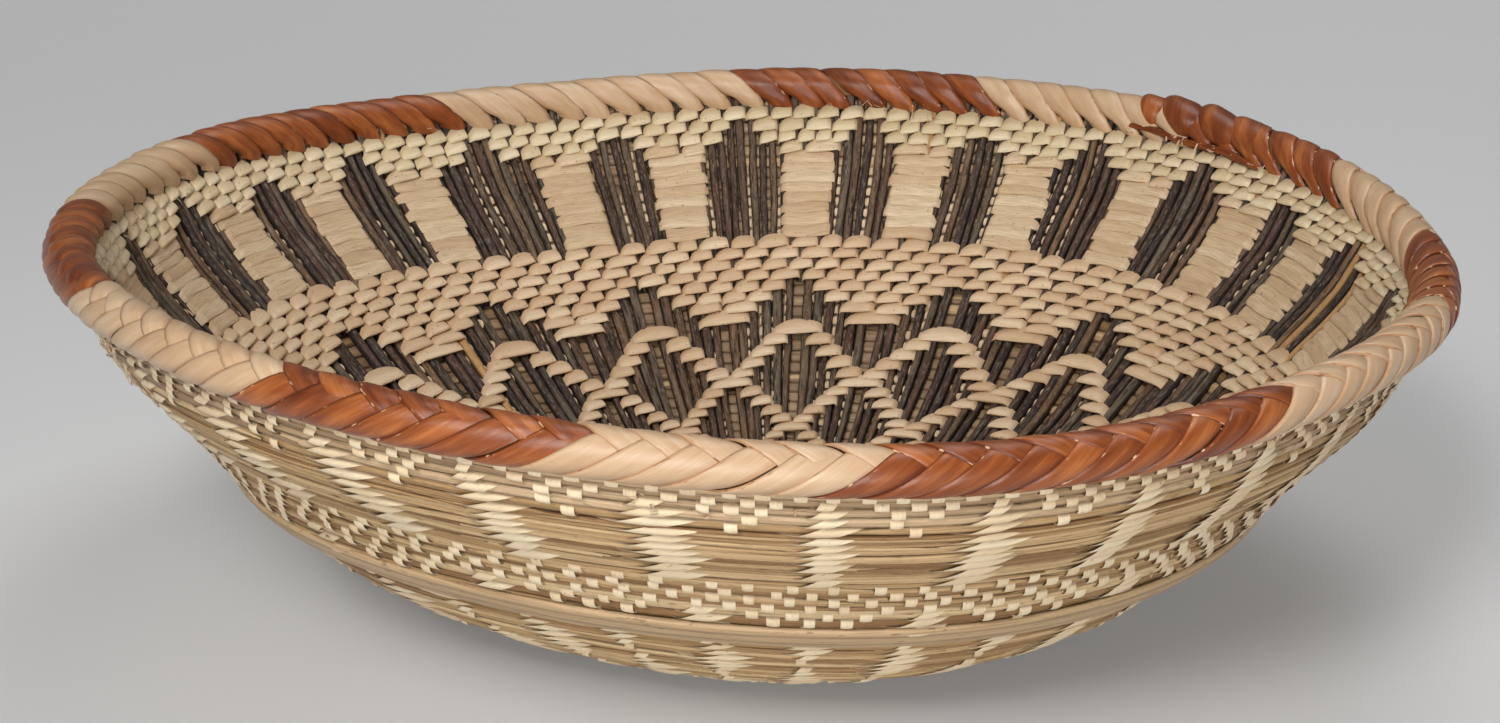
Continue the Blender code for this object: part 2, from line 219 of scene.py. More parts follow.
def reachOf(girth, inset=0.0, least=5.0):
    # distance from the bowl's middle
    return np.maximum(reachAt(girth)[0] - inset, least)


def link(name, data):
    thing = bpy.data.objects.new(name, data)
    bpy.context.collection.objects.link(thing)
    return thing


def addMesh(name, points, faces, lay, material):
    mesh = bpy.data.meshes.new(name)
    mesh.vertices.add(len(points))
    mesh.vertices.foreach_set("co", points.astype(np.float32).ravel())
    mesh.loops.add(faces.size)
    mesh.loops.foreach_set("vertex_index", faces.astype(np.int32).ravel())
    mesh.polygons.add(len(faces))
    mesh.polygons.foreach_set("loop_start", np.arange(0, faces.size, 4, dtype=np.int32))
    layer = mesh.attributes.new("lay", "FLOAT_VECTOR", "POINT")
    layer.data.foreach_set("vector", lay.astype(np.float32).ravel())
    mesh.update()
    mesh.validate()
    mesh.shade_smooth()
    mesh.materials.append(material)
    return link(name, mesh)


def gridFaces(count, rows, columns, closed, flip):
    # quads of many grids of one size, numbered one after another
    here = np.arange(count * rows * columns).reshape(count, rows, columns)
    across = np.roll(here, -1, axis=2) if closed else here[:, :, 1:]
    left = here if closed else here[:, :, :-1]
    quads = np.stack([left[:, :-1], across[:, :-1], across[:, 1:], left[:, 1:]], -1).reshape(-1, 4)
    return quads[:, ::-1] if flip else quads


def gridPiece(name, batches, material, nodes):
    # batches hold (points, lay, closed, flip), each with many grids of one size
    points, lays, faces = [], [], []
    start = 0
    for spots, lay, closed, flip in batches:
        count, rows, columns = spots.shape[:3]
        faces.append(gridFaces(count, rows, columns, closed, flip) + start)
        points.append(spots.reshape(-1, 3))
        lays.append(lay.reshape(-1, 3))
        start += count * rows * columns
    spots = np.concatenate(points)
    spots[:, 2] = np.maximum(spots[:, 2], tableGap)
    piece = addMesh(name, spots, np.concatenate(faces), np.concatenate(lays), material)
    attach(piece, "root")
    if nodes:
        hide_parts(*nodes)
    print(f"{name}: {2 * len(piece.data.polygons)} triangles")
    return piece


def layOf(across, along, seed):
    across, along, seed = np.broadcast_arrays(across, along, seed)
    return np.stack([across, along, seed], -1)


# shader wiring


class Wire:
    # a socket that takes part in sums
    def __init__(self, shade, socket):
        self.shade = shade
        self.socket = socket

    def sum(self, operation, one, two=0.0):
        return self.shade.add("ShaderNodeMath", {"operation": operation}, {0: one, 1: two})

    def __add__(self, other):
        return self.sum("ADD", self, other)

    def __radd__(self, other):
        return self.sum("ADD", other, self)

    def __sub__(self, other):
        return self.sum("SUBTRACT", self, other)

    def __rsub__(self, other):
        return self.sum("SUBTRACT", other, self)

    def __mul__(self, other):
        return self.sum("MULTIPLY", self, other)

    def __rmul__(self, other):
        return self.sum("MULTIPLY", other, self)

    def __abs__(self):
        return self.sum("ABSOLUTE", self)

    def cosine(self):
        return self.sum("COSINE", self)

    def above(self, edge, softness):
        # 0 below the edge and 1 over it
        values = {0: self, 1: edge - softness, 2: edge + softness}
        return self.shade.add("ShaderNodeMapRange", {"interpolation_type": "SMOOTHSTEP"}, values)


class Shade:
    # one material and its nodes
    def __init__(self, name):
        self.material = bpy.data.materials.new(name)
        self.material.use_nodes = True
        self.tree = self.material.node_tree
        self.surface = self.tree.nodes["Principled BSDF"]

    def add(self, kind, settings=None, values=None, output=0):
        node = self.tree.nodes.new(kind)
        for key, value in (settings or {}).items():
            setattr(node, key, value)
        self.feed(node, values or {})
        return Wire(self, node.outputs[output])

    def feed(self, node, values):
        for key, value in values.items():
            if isinstance(value, Wire):
                self.tree.links.new(value.socket, node.inputs[key])
            else:
                node.inputs[key].default_value = value

    def ramp(self, factor, stops):
        # the stops hold a place and a screen colour
        wire = self.add("ShaderNodeValToRGB", None, {0: factor})
        elements = wire.socket.node.color_ramp.elements
        for index, (place, *tone) in enumerate(stops):
            stop = elements[index] if index < 2 else elements.new(place)
            stop.position = place
            stop.color = colour(tone)
        return wire

    def mix(self, factor, one, two):
        return self.add("ShaderNodeMix", {"data_type": "RGBA"}, {0: factor, 6: one, 7: two}, 2)


class Fibre(Shade):
    # a material for strips, stems and sticks: a first coat in each piece's own tone, then others over it
    def __init__(self, name, look, tones):
        super().__init__(name)
        self.look = look
        whole = self.add("ShaderNodeAttribute", {"attribute_name": "lay"}, output=1)
        # across and along the strip in mm, and the piece's own number
        lay = [self.add("ShaderNodeSeparateXYZ", None, {0: whole}, k) for k in range(3)]
        self.across, self.along, number = lay
        self.noises = []
        for scales, detail, rough in look["noises"]:
            vector = self.add("ShaderNodeCombineXYZ", None, {k: lay[k] * scales[k] for k in range(3)})
            values = {"Vector": vector, "Scale": 1.0, "Detail": detail, "Roughness": rough}
            self.noises.append(self.add("ShaderNodeTexNoise", None, values))
        number = number * look["own"]
        self.own = self.add("ShaderNodeTexWhiteNoise", {"noise_dimensions": "1D"}, {"W": number})
        share = look["ownShare"]
        self.full = self.ramp(self.own * share + self.noises[1] * (1 - share), tones)

    def coat(self, factor, tone, share=1.0):
        self.full = self.mix(factor, self.full, colour(tone, share))

    def coatAbove(self, wire, edge, softness, amount, tone, share=1.0):
        # another tone where the wire is above the edge
        self.coat(wire.above(edge, softness) * amount, tone, share)

    def crevice(self):
        # 1 on both sides of a round stem and 0 on its face: where the painted shade between neighbours goes
        pace, edge, softness = self.look["crevice"]
        return 1 - abs((self.across * pace).cosine()).above(edge, softness)

    def finish(self, rough, height, relief=1.0):
        gain, least = self.look["roughness"]
        strength, distance = self.look["relief"]
        values = {"Strength": strength * relief, "Distance": distance, "Height": height}
        self.feed(self.surface, {
            "Base Color": self.full, "Roughness": rough * gain + least,
            "Normal": self.add("ShaderNodeBump", None, values), "Specular IOR Level": self.look["specular"]})
        return self.material


def colour(tone, share=1.0):
    # a screen colour as the shader's light values, dimmed to this share
    light = [c / 255 / 12.92 if c < 10.3 else ((c / 255 + 0.055) / 1.055) ** 2.4 for c in tone]
    return (*(share * value for value in light), 1.0)


# each look's noises hold scales across, along and from piece to piece, then detail and roughness;
# the second one is mixed into the first coat; then edge, softness and amount of the other coats
palm = {
    "noises": [((4.5, 0.16, 91), 2.0, 0.55), ((0.35, 0.2, 57), 2.0, 0.55), ((0.8, 0.8, 131), 1.0, 0.55)],
    "own": 313, "ownShare": 0.75,
    # tucked and folded give edge and softness of painted shade: on a stitch's upper part and at a wrap's ends
    "tucked": (2.4, 1.6), "folded": (2.45, 0.5), "foldTone": 0.55,
    "ribEdge": 0.35, "ribbed": 0.9, "spots": (0.73, 0.03, 0.5), "spotTone": 0.45,
    "roughness": (0.25, 0.42), "relief": (0.35, 0.0003), "specular": 0.35,
}


def palmMaterial(name, tones, edge, tucked, folded, ribbed=palm["ribbed"]):
    # split palm leaf: fine ribs along the strip, soft blotches, each strip its own tone,
    # painted shade where it is tucked in across under the next row, and where it is folded in along its
    # length
    strip = Fibre(name, palm, tones)
    ribs, _, spots = strip.noises
    # painted shade on the upper part of each stitch, under the next row
    strip.coatAbove(strip.across, *palm["tucked"], tucked, edge)
    # painted shade at the ends of an outside wrap, where it turns round its stem
    strip.coatAbove(abs(strip.along), *palm["folded"], folded, edge, palm["foldTone"])
    strip.coat((ribs - palm["ribEdge"]) * ribbed, edge)
    strip.coatAbove(spots, *palm["spots"], edge, palm["spotTone"])
    return strip.finish(ribs, ribs, ribbed / palm["ribbed"])


rind = {
    "noises": [((0.9, 0.1, 77), 4.0, 0.6), ((0.5, 0.09, 23), 2.0, 0.5), ((2.2, 0.4, 41), 3.0, 0.65)],
    "own": 519, "ownShare": 1.0,
    "tones": [(0.0, 52, 42, 39), (0.18, 90, 66, 57), (0.36, 50, 42, 38), (0.52, 112, 99, 81),
              (0.68, 76, 52, 43), (0.84, 118, 92, 72), (0.955, 134, 103, 75), (0.985, 188, 148, 100)],
    "red": (0.58, 0.08, 0.55, (96, 60, 42)), "dark": (0.54, 0.08, 0.8, (34, 26, 23)),
    "ash": (0.58, 0.06, 0.55, (140, 129, 112)), "bare": (0.945, 0.002, 0.8, (204, 156, 100)),
    "crevice": (1 / 1.5, 0.5, 0.28), "paintedShade": 0.85, "paintedShadeTone": (22, 17, 15),
    "roughness": (0.2, 0.62), "grainRelief": 0.5, "relief": (0.6, 0.0007), "specular": 0.25,
}


def barkMaterial():
    # thin sticks in their bark: rough grey-brown streaks, reddish patches, pale flecks, a few bare ones
    stick = Fibre("bark", rind, rind["tones"])
    streaks, patches, grain = stick.noises
    for wire, key in ((patches, "red"), (streaks, "dark"), (grain, "ash"), (stick.own, "bare")):
        stick.coatAbove(wire, *rind[key])
    # painted shade on both sides of each stick, where it meets its neighbours
    stick.coat(stick.crevice() * rind["paintedShade"], rind["paintedShadeTone"])
    return stick.finish(grain, streaks + grain * rind["grainRelief"])


straw = {
    "noises": [((2.2, 0.03, 83), 3.0, 0.55), ((0.2, 0.03, 29), 2.0, 0.55), ((0.9, 0.25, 61), 2.0, 0.55)],
    "own": 411, "ownShare": 0.8,
    "lined": (0.58, 0.1, 0.5), "spots": (0.66, 0.04, 0.45), "spotTone": 0.6,
    "crevice": (0.5, 0.33, 0.3), "paintedShadeTone": 0.5,
    "roughness": (0.3, 0.32), "relief": (0.5, 0.0005), "specular": 0.4,
}


def grassMaterial(name, tones, dim, paintedShade=0.0):
    # dry stems: long streaks, dark spots, and painted shade where two of them meet
    stem = Fibre(name, straw, tones)
    streaks, _, spots = stem.noises
    stem.coatAbove(streaks, *straw["lined"], dim)
    stem.coatAbove(spots, *straw["spots"], dim, straw["spotTone"])
    # painted shade on the top and bottom of each stem, where it meets the next row
    stem.coat(stem.crevice() * paintedShade, dim, straw["paintedShadeTone"])
    return stem.finish(streaks, streaks)


satin = {
    "noises": [((2.2, 0.07, 63), 3.0, 0.55), ((0.28, 0.12, 17), 2.0, 0.55), ((7, 0.25, 21), 2.0, 0.55),
               ((1.1, 0.5, 99), 1.0, 0.55)],
    "own": 217, "ownShare": 0.25,
    "lined": (0.56, 0.12, 0.28), "cut": (0.3, 0.3), "cutAmount": 0.75,
    # painted shadow where the next strip lies on this one
    "overlapShadow": (10.1, 1.1, 0.5),  # where the next strip lies on this one
    "nicks": (0.66, 0.02), "nickEdge": (0.9, 0.3), "nickAmount": 0.8,
    "roughness": (0.2, 0.24), "fineRelief": 0.35, "relief": (0.3, 0.0004), "specular": 0.45,
}


def stripMaterial(name, tones, streakTone, edge, nick):
    # broad rim strips: satin leaf with long ribs, worn streaks, a darker cut edge that is partly painted
    # shade, and small nicks
    strip = Fibre(name, satin, tones)
    ribs, _, fine, nicks = strip.noises
    across = strip.across
    strip.coatAbove(ribs, *satin["lined"], streakTone)
    # darker cut edge: partly the cut's own brownish tone, partly painted shade that deepens the edge's
    # contact shadow
    strip.coat((1 - across.above(*satin["cut"])) * satin["cutAmount"], edge)
    # painted shadow along the part that the next strip covers
    strip.coatAbove(across, *satin["overlapShadow"], edge)
    nearEdge = 1 - across.above(*satin["nickEdge"])
    strip.coat(nicks.above(*satin["nicks"]) * nearEdge * satin["nickAmount"], nick)
    return strip.finish(fine, ribs + fine * satin["fineRelief"])


creamPalm = palmMaterial(
    "creamPalm", [(0.0, 208, 187, 150), (0.5, 224, 206, 170), (1.0, 236, 221, 190)], (172, 140, 98), 0.5, 0.0)
warmPalm = palmMaterial(
    "warmPalm", [(0.0, 206, 174, 138), (0.5, 224, 197, 162), (1.0, 238, 216, 184)], (172, 130, 90), 0.5, 0.0)
panelPalm = palmMaterial(
    "panelPalm", [(0.0, 200, 170, 134), (0.5, 222, 196, 160), (1.0, 238, 218, 186)], (166, 128, 88),
    0.25, 0.0, 1.7)
outerPalm = palmMaterial(
    "outerPalm", [(0.0, 228, 201, 164), (0.5, 240, 219, 184), (1.0, 246, 230, 200)], (200, 162, 120),
    0.0, 0.7)
bark = barkMaterial()
grass = grassMaterial(
    "dryGrass", [(0.0, 116, 82, 48), (0.2, 150, 112, 70), (0.45, 190, 154, 107), (0.7, 214, 180, 133),
                 (1.0, 236, 208, 162)],
    (112, 76, 42), 0.75)
duskGrass = grassMaterial(
    "duskGrass", [(0.0, 138, 108, 80), (0.4, 176, 144, 110), (0.8, 202, 171, 134), (1.0, 222, 194, 156)],
    (112, 82, 58), 0.6)
naturalStrip = stripMaterial(
    "naturalStrip", [(0.2, 186, 150, 114), (0.5, 202, 169, 134), (0.8, 216, 190, 159)],
    (188, 144, 104), (174, 126, 88), (140, 88, 54))
dyedStrip = stripMaterial(
    "dyedStrip", [(0.25, 100, 45, 20), (0.5, 142, 74, 34), (0.75, 188, 112, 58)],
    (106, 44, 14), (86, 32, 14), (226, 190, 150))
splintGrass = grassMaterial(
    "splintGrass", [(0.0, 190, 158, 118), (0.5, 210, 178, 138), (1.0, 228, 199, 160)], (122, 86, 54), 0.4)
shadeGrass = grassMaterial("shadeGrass", [(0.0, 132, 104, 76), (1.0, 176, 146, 112)], (84, 60, 40))
core = grassMaterial("rimCore", [(0.0, 110, 80, 50), (1.0, 150, 115, 75)], (70, 50, 32))
print("materials made")


# the pattern: where the palm strip shows inside, row by row, as first angle, last angle and whether it is
# a wide stitch; the widths below are in sticks
stickStep = turn / weave["upperSticks"]
starStep = turn / weave["lowerSticks"]
firstPanel = math.radians(weave["firstPanel"])
firstStar = math.radians(weave["starAngle"])

band = {
    "stitch": 2.1, "offset": 0.5,
    "gaps": {1: 2.0, 2: 3.4},  # how wide the spires cut into a row
    "closedEvery": 3,
    "splitRow": 3, "alsoSplit": range(14, 27),  # panels whose next row starts with two stitches too
    "splitHalf": 3.0, "seam": 0.6,
    "panelHalf": 2.8, "panelJitter": 0.22,
}


def fillSpans(first, last, width):
    # whole stitches side by side, as near to this width as the room allows
    count = max(1, round((last - first) / width))
    return [(first + (last - first) * k / count, first + (last - first) * (k + 1) / count, False)
            for k in range(count)]


def upperRow(row):
    # cream band above the panels, cut by the dark spires, then the panels themselves
    spans = []
    middles = [float(sum(weave["spires"][:k])) for k in range(len(weave["spires"]) + 1)]
    offset = band["offset"] if row % 2 else -band["offset"]
    for index, (one, two) in enumerate(zip(middles, middles[1:])):
        if row == band["splitRow"] or row == band["splitRow"] + 1 and index in band["alsoSplit"]:
            seam = one + (band["seam"] if (row + index) % 2 else -band["seam"])
            spans += [(one - band["splitHalf"], seam, False), (seam, one + band["splitHalf"], False)]
        elif row > band["splitRow"]:
            jitter = dice.uniform(-band["panelJitter"], band["panelJitter"], 2)
            spans.append((one - band["panelHalf"] + jitter[0], one + band["panelHalf"] + jitter[1], True))
        else:
            closed = row == 1 and index % band["closedEvery"] == 1
            gap = 0.0 if closed else band["gaps"].get(row, 0.0)
            start = spans[-1][1] if spans else one + (offset if gap else 0.0)
            spire = (one + two) / 2
            ends = [start, spire - gap / 2, spire + gap / 2, two + offset] if gap else [start, two + offset]
            for low, high in zip(ends[::2], ends[1::2]):
                spans += fillSpans(low, high, band["stitch"])
    return [(firstPanel + a * stickStep, firstPanel + b * stickStep, wide) for a, b, wide in spans]


def middleRow(row):
    # two sticks to a stitch, each row half a stitch on from the last
    count = weave["lowerSticks"] // 2
    edges = 2 * np.arange(count) + (row + 1) % 2 + dice.uniform(-0.3, 0.3, count)
    edges = firstStar + np.append(edges, edges[0] + 2 * count) * starStep
    return [(a, b, False) for a, b in zip(edges, edges[1:])]


star = {
    "teeth": {16: [(1, 3), (3, 5), (5, 7), (7, 9), (9, 11)], 17: [(2, 4), (4, 6), (6, 8), (8, 10)],
              18: [(3.2, 6), (6, 8.8)], 19: [(3.8, 8.2)]},
    "points": 16, "pace": 12, "firstRow": 20, "rise": 5,
    "turnHalf": 2.1, "line": 2.35, "back": 0.35,
}


def starRow(row):
    # teeth under the middle band, then zigzag lines that cross into diamonds
    spans = star["teeth"].get(row)
    if not spans:
        step = (row - star["firstRow"]) % (2 * star["rise"])
        shift = star["pace"] // 2 if step >= star["rise"] else 0
        step %= star["rise"]
        edge = step - star["back"]
        spans = [(-star["turnHalf"] + shift, star["turnHalf"] + shift)] if step == 0 else [
            (-star["line"] - edge + shift, -edge + shift), (edge + shift, edge + star["line"] + shift)]
    starts = [star["pace"] * point for point in range(star["points"])]
    return sorted((firstStar + (a + start) * starStep, firstStar + (b + start) * starStep, False)
                  for start in starts for a, b in spans)


# least girth of a ring and its number of stitches
rings = [(60, 96), (30, 48), (0, 24)]


def floorRow(row):
    # light rings round the start, with half as many stitches wherever every other stick ends
    count = next(stitches for girth, stitches in rings if rowPlace(row, 0.0) > girth)
    step = turn / count
    start = firstStar + step / 2 * (row % 2)
    return [(start + k * step, start + (k + 1) * step, False) for k in range(count)]


floorRows = 52
pattern = {}
zones = [(upperRow, -1, 12), (middleRow, 12, 16), (starRow, 16, 34), (floorRow, 34, floorRows)]
for makeRow, first, last in zones:
    pattern.update({row: makeRow(row) for row in range(first, last)})
print("pattern laid out")


# sticks inside
sticks = {
    "sides": 8, "stations": 20, "halfWidth": 1.5, "widths": (0.8, 1.12), "halfDepth": 1.5, "depths": 0.3,
    "sway": 0.16, "swayWaves": (0.8, 2.1, 5.3), "knot": 0.06, "knots": (14, 30),
    "fill": 0.43, "lowRow": (15.2, 15.8), "topGirth": 229.0,
    # the open gaps: how much wider they are, the share of that on top, and how far from the spire's ends
    "open": 0.3, "openTop": 0.5, "openFrom": 3, "uneven": (0.93, 1.07),
}
lowerSticks = {
    "places": [0.76, 1.6, 2.5, 3.5, 4.4, 5.24],  # six sticks between two wide gaps
    "jitter": 0.07, "lean": 0.12, "halfWidth": 1.6, "fill": 0.4,
    # girths of the lower ends: sticks of odd number, the others, and how much further every fourth one goes
    "ends": (62.0, 34.0, 8), "topRow": 13.5,
    "sparse": (75, 1.6),  # below this reach the sticks have more room
}


def stickTubes(angles, girths, halfWidths):
    # tubes up the wall; angles and girths hold each one's lower and upper end
    count = len(angles)
    share = down(sticks["stations"])
    girth, line = [low + share * (high - low) for low, high in (columns(girths), columns(angles))]
    clock = ring(sticks["sides"])
    sway = sticks["sway"] * sum(
        np.sin(share * waveCount * turn + each(count, 0, turn)) / waveCount ** 0.5
        for waveCount in sticks["swayWaves"])
    knots = 1 + sticks["knot"] * np.sin(share * each(count, *sticks["knots"]) + each(count, 0, turn))
    half = halfWidths(reachAt(girth)[0]) * knots * each(count, *sticks["widths"])
    depth = weave["stickDepth"] + each(count, -sticks["depths"], sticks["depths"])
    depth = depth - sticks["halfDepth"] * np.cos(clock) * knots
    angle = line + (sway + half * np.sin(clock)) / reachOf(girth, 0, 6.0)
    points = wallPoint(angle, girth, depth)
    return points, layOf(clock * sticks["halfDepth"], girth, each(count)), True, True


def spireSticks():
    # each spire's sticks from panel to panel, with two or three open gaps between them
    ends, gaps = [], []
    start = 0
    for count in weave["spires"]:
        number = 2 if count < 12 else 3
        wideGaps = dice.choice(np.arange(sticks["openFrom"], count - 2), number, replace=False)
        places = []
        for wide in (sticks["open"], sticks["open"] * sticks["openTop"]):
            steps = np.ones(count + 1)
            steps[wideGaps] = 1 + wide
            steps[[0, -1]] = 0.5
            steps[1:-1] *= dice.uniform(*sticks["uneven"], count - 1)
            steps *= count / steps.sum()
            places.append(firstPanel + (start + np.cumsum(steps)[:-1]) * stickStep)
        ends.append(np.stack(places, 1))
        gaps += [[(place[gap - 1] + place[gap]) / 2 for place in places] for gap in wideGaps]
        start += count
    return np.concatenate(ends), gaps


def wallSticks():
    angles, gaps = spireSticks()
    low = dice.uniform(*sticks["lowRow"], len(angles))
    girths = np.stack([rowPlace(low, angles[:, 0]), np.full(len(angles), sticks["topGirth"])], 1)

    def half(reach):
        return np.minimum(reach * stickStep * sticks["fill"], sticks["halfWidth"])

    return stickTubes(angles, girths, half), gaps


def floorSticks():
    plan = lowerSticks
    count = weave["lowerSticks"]
    index = np.arange(count)
    places = index // 6 * 6 + np.array(plan["places"])[index % 6]
    places = places + dice.uniform(-plan["jitter"], plan["jitter"], count)
    lean = dice.uniform(-plan["lean"], plan["lean"], count)
    angles = firstStar + np.stack([places - lean, places + lean], 1) * starStep
    odd, even, further = plan["ends"]
    inner = np.where(index % 2, odd, even) - further * (index % 4 == 2)
    girths = np.stack([inner, rowPlace(plan["topRow"], angles[:, 1])], 1)

    def half(reach):
        edge, room = plan["sparse"]
        step = np.where(reach > edge, starStep, starStep * room)
        return np.minimum(reach * step * plan["fill"], plan["halfWidth"])

    return stickTubes(angles, girths, half)


wallTubes, openGaps = wallSticks()
floorTubes = floorSticks()
groups = [f"stick_group_{k + 1:02d}" for k in range(28)]
gridPiece("wallSticks", [wallTubes], bark, groups)
gridPiece("floorSticks", [floorTubes], bark, groups + ["centre_start"])

# palm stitches inside, each laid over its sticks: lower edge proud, upper edge tucked under the next row
loaf = {
    # a section runs across the strip from its folded-under lower edge to its upper edge: place and height;
    # the edges are in rows from the middle of the stitch
    "small": {
        "stations": 12, "gap": 0.05, "crown": 1.35,
        "section": [(0.3, -1.1), (0.0, 0.7), (0.04, 0.95), (0.18, 1.0), (0.42, 0.85), (0.72, 0.48),
                    (1.0, -0.15)],
        "low": -0.55, "sag": 0.09, "high": 0.02, "rise": (0.62, 0.42), "fall": (0.2, 0.68, 0.32),
        "tilt": (0.3, 0.12), "uneven": 0.06,
        "longLift": (0.2, 9, 5),  # how much higher stitches are that are longer than this, in mm
        "endCrown": 0.77,
    },
    "wide": {
        "stations": 16, "gap": 0.15, "crown": 0.55,
        "section": [(0.1, -0.9), (0.0, 0.3), (0.08, 0.75), (0.28, 1.0), (0.55, 0.97), (0.8, 0.72),
                    (1.0, 0.3)],
        "low": -0.56, "high": 0.64, "corner": (2.0, 1.3, 0.2, 0.3), "bend": (0.08, 6, 3), "tilt": 0.14,
        "uneven": 0.07,
    },
    "inset": 5, "shift": 0.18, "round": 0.6, "crownUneven": 0.2, "lift": 0.1, "depthUneven": 0.14,
    "foot": 0.5, "under": 0.3, "layWidth": 4.5,
}


def smallEdges(along, length, jitter):
    # lower and upper edge of a stitch over two sticks, which leans and narrows to its right end
    plan = loaf["small"]
    tilt = (plan["tilt"][0] + plan["tilt"][1] * jitter[:, 5]) * (along - 0.5)
    lift, until = plan["rise"]
    rise = np.sin(np.clip(along / until, 0, 1) * math.pi / 2)
    drop, start, over = plan["fall"]
    low = plan["low"] + tilt + plan["uneven"] * jitter[:, 0] - plan["sag"] * np.sin(along * math.pi)
    high = plan["high"] + lift * rise + 0.5 * tilt - drop * ease((along - start) / over)
    high = high + plan["uneven"] * jitter[:, 1]
    more, least, span = plan["longLift"]
    return low, high + more * ease((length - least) / span) * np.sin(along * math.pi)


def wideEdges(along, end, jitter):
    # lower and upper edge of a panel stitch, with rounded corners
    plan = loaf["wide"]
    reach, spread, lowRound, highRound = plan["corner"]
    corner = 1 - ease(end / (reach + spread * jitter[:, 5]))
    size, pace, phase = plan["bend"]
    bend = size * np.sin(along * pace + phase * jitter[:, 6])
    tilt = plan["tilt"] * (along - 0.5)
    low = plan["low"] + tilt + plan["uneven"] * jitter[:, 0] + lowRound * corner + bend
    high = plan["high"] + tilt + plan["uneven"] * jitter[:, 1] - highRound * corner + bend
    return low, high


def loafStitches(spans, wide):
    # spans are rows of weave row, first angle, last angle; along runs from the right end to the left
    count = len(spans)
    row, one, two = columns(spans)
    plan = loaf["wide" if wide else "small"]
    along = down(plan["stations"])
    places, heights = [np.array(values)[None, None, :] for values in zip(*plan["section"])]
    reach = reachOf(rowPlace(row, one), loaf["inset"])
    jitter = dice.uniform(-1, 1, (count, 8, 1, 1))
    length = (two - one) * reach
    end = np.minimum(along, 1 - along) * length
    low, high = wideEdges(along, end, jitter) if wide else smallEdges(along, length, jitter)
    gap = plan["gap"] / reach
    angle = two - gap - along * (two - one - 2 * gap) + loaf["shift"] * jitter[:, 3] / reach
    place = rowPlace(row - low - places * (high - low), angle)
    arch = np.sqrt(np.clip(1 - (1 - np.clip(end / loaf["round"], 0, 1)) ** 2, 0, 1))
    crown = plan["crown"] * (1 + loaf["crownUneven"] * jitter[:, 4])
    if not wide:
        crown = crown * (plan["endCrown"] + (1 - plan["endCrown"]) * np.sin(along * math.pi))
    top = weave["palmDepth"] + loaf["lift"] + crown * heights + loaf["depthUneven"] * jitter[:, 2]
    foot = weave["stickDepth"] + loaf["foot"]
    depth = foot + (top - foot) * arch
    depth = np.where(heights < -1, np.minimum(depth, foot + loaf["under"]), depth)
    points = wallPoint(angle, place, depth)
    return points, layOf(places * loaf["layWidth"], along * length, each(count)), False, True


def stitchBatches(rows):
    small, broad = [[(row, a, b) for row in rows for a, b, wide in pattern[row] if wide == kind]
                    for kind in (False, True)]
    batches = [loafStitches(small, False)] if small else []
    return batches + ([loafStitches(broad, True)] if broad else [])


for name, first, last, material, nodes in (
    ("upperBandStitches", 0, 3, creamPalm, ["upper_palm_band"]),
    ("panelStitches", 3, 12, panelPalm, ["upper_palm_band"]),
    ("middleBandStitches", 12, 20, warmPalm, ["middle_palm_band"]),
    ("starStitches", 20, 34, warmPalm, ["star_zigzag_1", "star_zigzag_2"]),
    ("floorStitches", 34, floorRows, warmPalm, ["floor_palm"]),
):
    gridPiece(name, stitchBatches(range(first, last)), material, nodes)

# pale strip that shows between two sticks, a bead to each row
bead = {
    "halfWidth": 1.1, "halfHeight": 0.36, "depth": 4.8, "crown": 1.1, "across": 5, "along": 6, "inset": 4,
    # the wall: the rows that a gap runs between, and where its beads start and end
    "gapRows": (15.5, -1.0), "starts": (3, 9), "lasts": (11, 9), "full": 0.8, "sizes": (0.5, 1.05),
    "growth": (0.5, 0.2), "uneven": (0.8, 1.1),
    # the floor
    "every": 6, "skipped": 0.35, "floorSizes": (0.3, 0.75), "floorRows": (17, 33), "kept": 0.75,
    "floorUneven": (0.7, 1.2),
}


def makeBeads():
    spots = []
    lowRow, highRow = bead["gapRows"]
    for low, high in openGaps:
        start = int(dice.integers(*bead["starts"]))
        last = bead["lasts"][0 if dice.uniform() < bead["full"] else 1]
        size = dice.uniform(*bead["sizes"])
        for row in range(start, last + 1):
            share = (lowRow - row) / (lowRow - highRow)
            least, step = bead["growth"]
            grown = size * min(1, least + step * (row - start)) * dice.uniform(*bead["uneven"])
            spots.append((row, low + share * (high - low), grown))
    for place in range(weave["lowerSticks"]):
        if place % bead["every"] == 0 or dice.uniform() < bead["skipped"]:
            continue
        size = dice.uniform(*bead["floorSizes"])
        for row in range(*bead["floorRows"]):
            if dice.uniform() < bead["kept"]:
                spots.append((row, firstStar + place * starStep, size * dice.uniform(*bead["floorUneven"])))
    row, angle, size = columns(spots)
    side = np.linspace(-1, 1, bead["across"])[None, None, :]
    tall = down(bead["along"], -1, 1)
    bulge = np.sqrt(np.clip(1 - side ** 2 * 0.9, 0, 1)) * np.sqrt(np.clip(1 - tall ** 2 * 0.95, 0, 1))
    place = rowPlace(row - tall * bead["halfHeight"], angle)
    depth = bead["depth"] + bead["crown"] * (bulge - 0.5)
    points = wallPoint(angle + side * size * bead["halfWidth"] / reachOf(place, bead["inset"]), place, depth)
    return points, layOf(side * 2, tall * 2, each(len(spots))), False, False


gridPiece("paleBeads", [makeBeads()], warmPalm, [])

